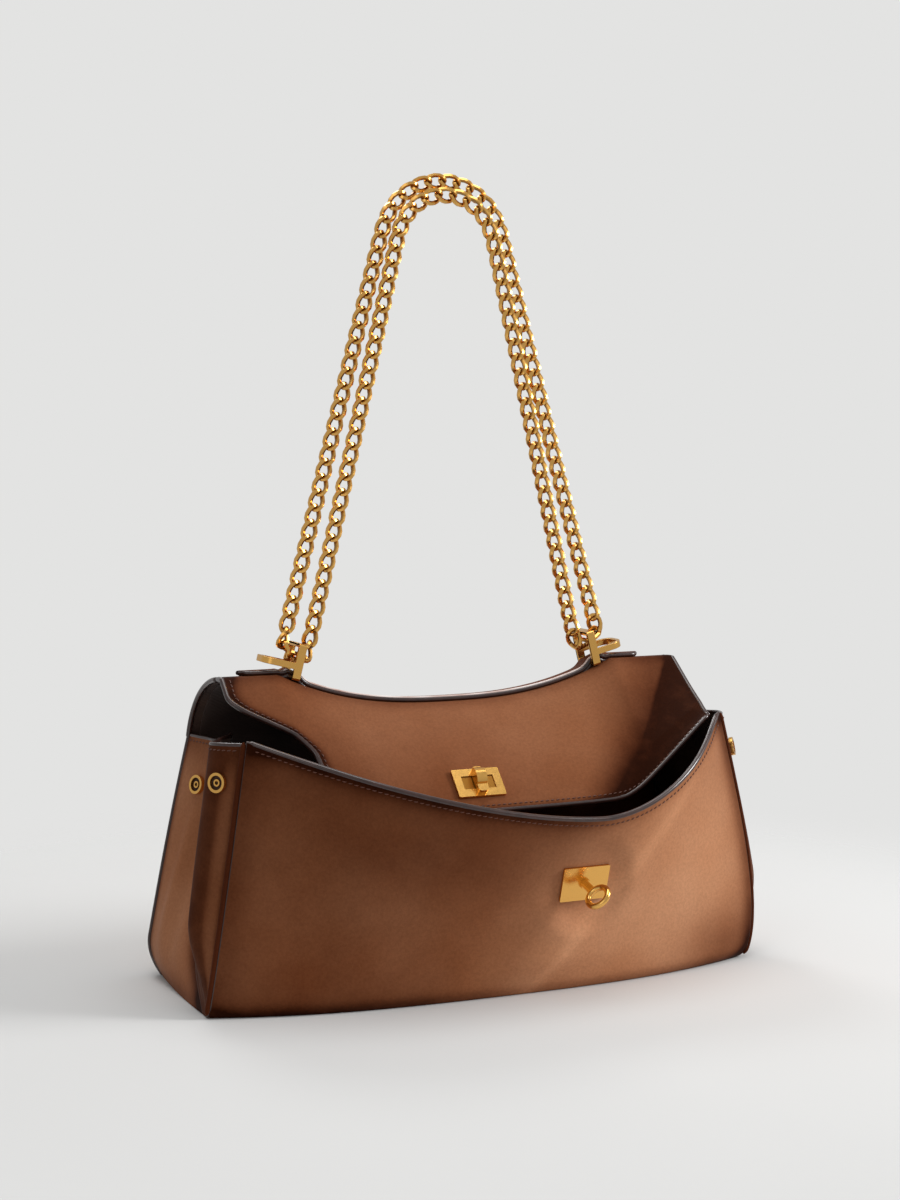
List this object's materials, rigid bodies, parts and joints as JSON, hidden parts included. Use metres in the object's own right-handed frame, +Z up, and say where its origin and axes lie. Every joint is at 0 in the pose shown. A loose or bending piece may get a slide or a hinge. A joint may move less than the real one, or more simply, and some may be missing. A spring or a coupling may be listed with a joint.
{
  "type": "chain shoulder bag",
  "caption": "Soft burnished leather shoulder bag with a tucked flap, a turn lock, a ring plate and a doubled curb chain.",
  "frame": {"origin": "centre of the flat base, on the surface it rests on", "axes": "+X to the bag's right as seen from the front, +Y to its back, +Z up"},
  "size_m": [0.3426, 0.1625, 0.448],
  "materials": {
    "tan_leather": "burnished tan leather, semi-gloss",
    "dark_leather": "dark burnished leather, semi-gloss",
    "lining_brown": "dark brown lining, matte",
    "edge_brown": "painted leather edge, glossy",
    "brass_gold": "polished warm gold plate"
  },
  "bodies": {
    "bag": {"front_panel": "tan_leather", "front_facing": "dark_leather", "front_lining": "lining_brown", "rear_panel": "tan_leather", "rear_lining": "lining_brown", "base_panel": "dark_leather", "base_board": "lining_brown", "left_gusset_front": "dark_leather", "left_gusset_rear": "tan_leather", "right_gusset_front": "dark_leather", "right_gusset_rear": "tan_leather", "divider": "dark_leather", "ridge_strap": "dark_leather", "left_seam_binding": "edge_brown", "right_seam_binding": "edge_brown", "ring_plate": "brass_gold", "ring_backplate": "brass_gold", "left_chain_anchor": "brass_gold", "right_chain_anchor": "brass_gold", "left_snap_sockets": "brass_gold", "left_snap_caps": "brass_gold", "right_snap_sockets": "brass_gold", "right_snap_caps": "brass_gold"},
    "flap": {"flap": "tan_leather", "flap_lining": "lining_brown", "lock_plate": "brass_gold", "lock_base": "brass_gold", "lock_backplate": "brass_gold"},
    "lock_knob": {"lock_knob": "brass_gold"},
    "ring": {"ring_eye": "brass_gold"},
    "chain": {"chain_outer_left": "brass_gold", "chain_outer_right": "brass_gold", "chain_inner_left": "brass_gold", "chain_inner_right": "brass_gold", "chain_turn_links": "brass_gold"}
  },
  "joints": [
    {"name": "flap_hinge", "type": "hinge", "parent": "bag", "child": "flap", "pos_m": [0, -0.018, 0.1625], "axis": [-1, 0, 0], "range_deg": [0, 110]},
    {"name": "lock_knob_turn", "type": "hinge", "parent": "flap", "child": "lock_knob", "pos_m": [-0.005, -0.05365, 0.11293], "axis": [0.0007, -0.7126, 0.7016], "range_deg": [0, 90]},
    {"name": "ring_turn", "type": "hinge", "parent": "bag", "child": "ring", "pos_m": [0.042, -0.08888, 0.06124], "axis": [0.0283, -0.9576, -0.2866], "range_deg": [-90, 90]},
    {"name": "chain_swing", "type": "hinge", "parent": "bag", "child": "chain", "pos_m": [0, 0.004, 0.18021], "axis": [-1, 0, 0], "range_deg": [-45, 65]}
  ]
}
